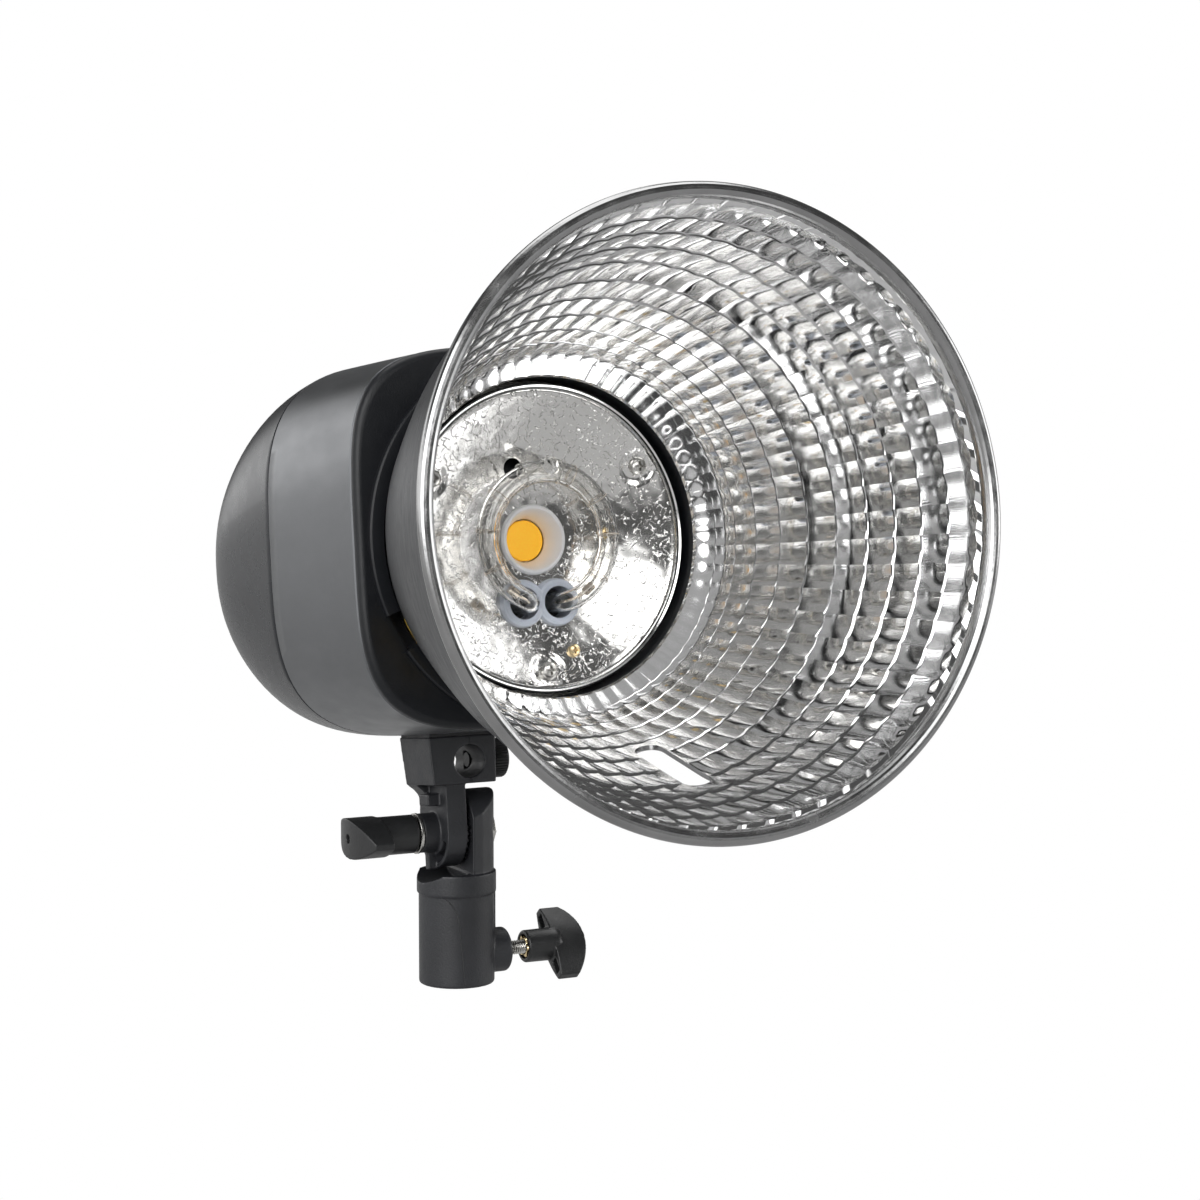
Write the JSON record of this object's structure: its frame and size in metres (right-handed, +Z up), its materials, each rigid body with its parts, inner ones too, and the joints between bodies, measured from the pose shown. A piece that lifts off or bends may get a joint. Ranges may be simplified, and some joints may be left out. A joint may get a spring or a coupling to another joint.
{
  "type": "monolight strobe",
  "caption": "Studio flash head with a round faceted reflector, ring flash tube, LED modelling lamp and a tilting bracket whose socket locks on a light stand.",
  "frame": {"origin": "centre of the stand socket's mouth, where the light stand's spigot enters", "axes": "+Z up along the stand socket, the light leaves towards -Y, +X is the lock knob's side"},
  "size_m": [0.178, 0.2701, 0.2519],
  "materials": {
    "bezel_plastic": "fine grained satin black",
    "housing_paint": "satin dark grey metallic",
    "cover_plastic": "satin charcoal",
    "panel_plastic": "satin black",
    "bracket_plastic": "grained matte dark grey",
    "knob_plastic": "satin black",
    "steel": "zinc plated",
    "reflector_metal": "bright faceted inside, dark satin outside",
    "bright_metal": "bright, crinkled",
    "brass": "polished",
    "glass": "clear",
    "ceramic": "smooth bluish white",
    "white_plastic": "smooth white",
    "phosphor": "matte yellow",
    "red_lens": "glossy red",
    "circuit_board": "green solder mask",
    "capacitor_sleeve": "dark blue sleeve",
    "copper": "enamelled winding"
  },
  "bodies": {
    "stand": {"stand_socket": "bracket_plastic", "tilt_bolt": "steel"},
    "tilt_slider": {"tilt_washer": "steel"},
    "tilt_handle": {"tilt_handle": "knob_plastic"},
    "lock_slider": {"lock_pad": "white_plastic"},
    "lock_knob": {"lock_knob": "knob_plastic", "lock_screw": "steel", "lock_insert": "brass"},
    "umbrella_slider": {"umbrella_pad": "brass"},
    "umbrella_knob": {"umbrella_knob": "knob_plastic", "umbrella_screw": "steel"},
    "reflector": {"reflector_bowl": "reflector_metal", "reflector_collar": "steel"},
    "power_dial": {"power_dial": "panel_plastic"},
    "test_button": {"test_button": "white_plastic"},
    "lamp_button": {"lamp_button": "white_plastic"},
    "slave_button": {"slave_button": "white_plastic"},
    "power_rocker": {"power_rocker": "red_lens"},
    "fuse_cap": {"fuse_cap": "panel_plastic"},
    "head": {"front_bezel": "bezel_plastic", "lamp_base": "bezel_plastic", "mid_shell": "housing_paint", "rear_cover": "cover_plastic", "rear_panel": "panel_plastic", "mains_inlet": "panel_plastic", "rocker_frame": "panel_plastic", "fuse_holder": "panel_plastic", "umbrella_block": "bracket_plastic", "front_bulkhead": "steel", "panel_screw_1": "steel", "panel_screw_2": "steel", "panel_screw_3": "steel", "panel_screw_4": "steel", "chassis_plate": "steel", "bracket_screw_1": "steel", "bracket_screw_2": "steel", "bayonet_spring": "steel", "disc_screw_1": "steel", "disc_screw_2": "steel", "disc_screw_3": "steel", "dial_potentiometer": "steel", "sync_socket": "steel", "trigger_wire": "steel", "trim_ring": "bright_metal", "base_disc": "bright_metal", "led_heatsink": "bright_metal", "clip_screw_1": "brass", "clip_screw_2": "brass", "flash_tube": "glass", "tube_socket": "ceramic", "tube_grommets": "ceramic", "led_cup": "white_plastic", "led_chip": "phosphor", "indicator_lens": "red_lens", "slave_cell_dome": "red_lens", "power_board": "circuit_board", "control_board": "circuit_board", "flash_capacitor_left": "capacitor_sleeve", "flash_capacitor_right": "capacitor_sleeve", "transformer": "copper"}
  },
  "joints": [
    {"name": "head_tilt", "type": "hinge", "parent": "stand", "child": "head", "pos_m": [0, 0, 0.05], "axis": [1, 0, 0], "range_deg": [-80, 80]},
    {"name": "tilt_washer_travel", "type": "slide", "parent": "stand", "child": "tilt_slider", "axis": [-1, 0, 0], "range_m": [0, 0.00095]},
    {"name": "tilt_handle_turn", "type": "hinge", "parent": "tilt_slider", "child": "tilt_handle", "pos_m": [-0.02, 0, 0.05], "axis": [-1, 0, 0], "range_deg": [0, 270]},
    {"name": "lock_pad_travel", "type": "slide", "parent": "stand", "child": "lock_slider", "axis": [1, 0, 0], "range_m": [-0.00161, 0.00161]},
    {"name": "lock_knob_turn", "type": "hinge", "parent": "lock_slider", "child": "lock_knob", "pos_m": [0.03, 0, 0.0092], "axis": [1, 0, 0], "range_deg": [-720, 720]},
    {"name": "umbrella_pad_travel", "type": "slide", "parent": "head", "child": "umbrella_slider", "axis": [1, 0, 0], "range_m": [-0.00021, 0.00161]},
    {"name": "umbrella_knob_turn", "type": "hinge", "parent": "umbrella_slider", "child": "umbrella_knob", "pos_m": [0.015, 0.00266, 0.07254], "axis": [1, 0, 0], "range_deg": [-90, 720]},
    {"name": "reflector_twist", "type": "hinge", "parent": "head", "child": "reflector", "pos_m": [0, -0.11786, 0.15526], "axis": [0, 0.9931, -0.1174], "range_deg": [-17, 9.5]},
    {"name": "power_dial_turn", "type": "hinge", "parent": "head", "child": "power_dial", "pos_m": [0, 0.07247, 0.14686], "axis": [0, 0.9931, -0.1174], "range_deg": [-135, 135]},
    {"name": "power_rocker_tip", "type": "hinge", "parent": "head", "child": "power_rocker", "pos_m": [0.017, 0.06304, 0.11223], "axis": [0, 0.1174, 0.9931], "range_deg": [0, 12]},
    {"name": "fuse_cap_turn", "type": "hinge", "parent": "head", "child": "fuse_cap", "pos_m": [0.038, 0.06907, 0.13518], "axis": [0, 0.9931, -0.1174], "range_deg": [0, 90]},
    {"name": "test_button_press", "type": "slide", "parent": "head", "child": "test_button", "axis": [0, -0.9931, 0.1174], "range_m": [0, 0.0015], "stiffness_N_per_m": 300, "springref_m": -0.001},
    {"name": "lamp_button_press", "type": "slide", "parent": "head", "child": "lamp_button", "axis": [0, -0.9931, 0.1174], "range_m": [0, 0.0015], "stiffness_N_per_m": 300, "springref_m": -0.001},
    {"name": "slave_button_press", "type": "slide", "parent": "head", "child": "slave_button", "axis": [0, -0.9931, 0.1174], "range_m": [0, 0.0015], "stiffness_N_per_m": 300, "springref_m": -0.001}
  ],
  "couplings": [
    {"joint": "tilt_washer_travel", "follows": "tilt_handle_turn", "m_per_rad": 0.00019894},
    {"joint": "lock_pad_travel", "follows": "lock_knob_turn", "m_per_rad": 0.00012732},
    {"joint": "umbrella_pad_travel", "follows": "umbrella_knob_turn", "m_per_rad": 0.00012732}
  ]
}
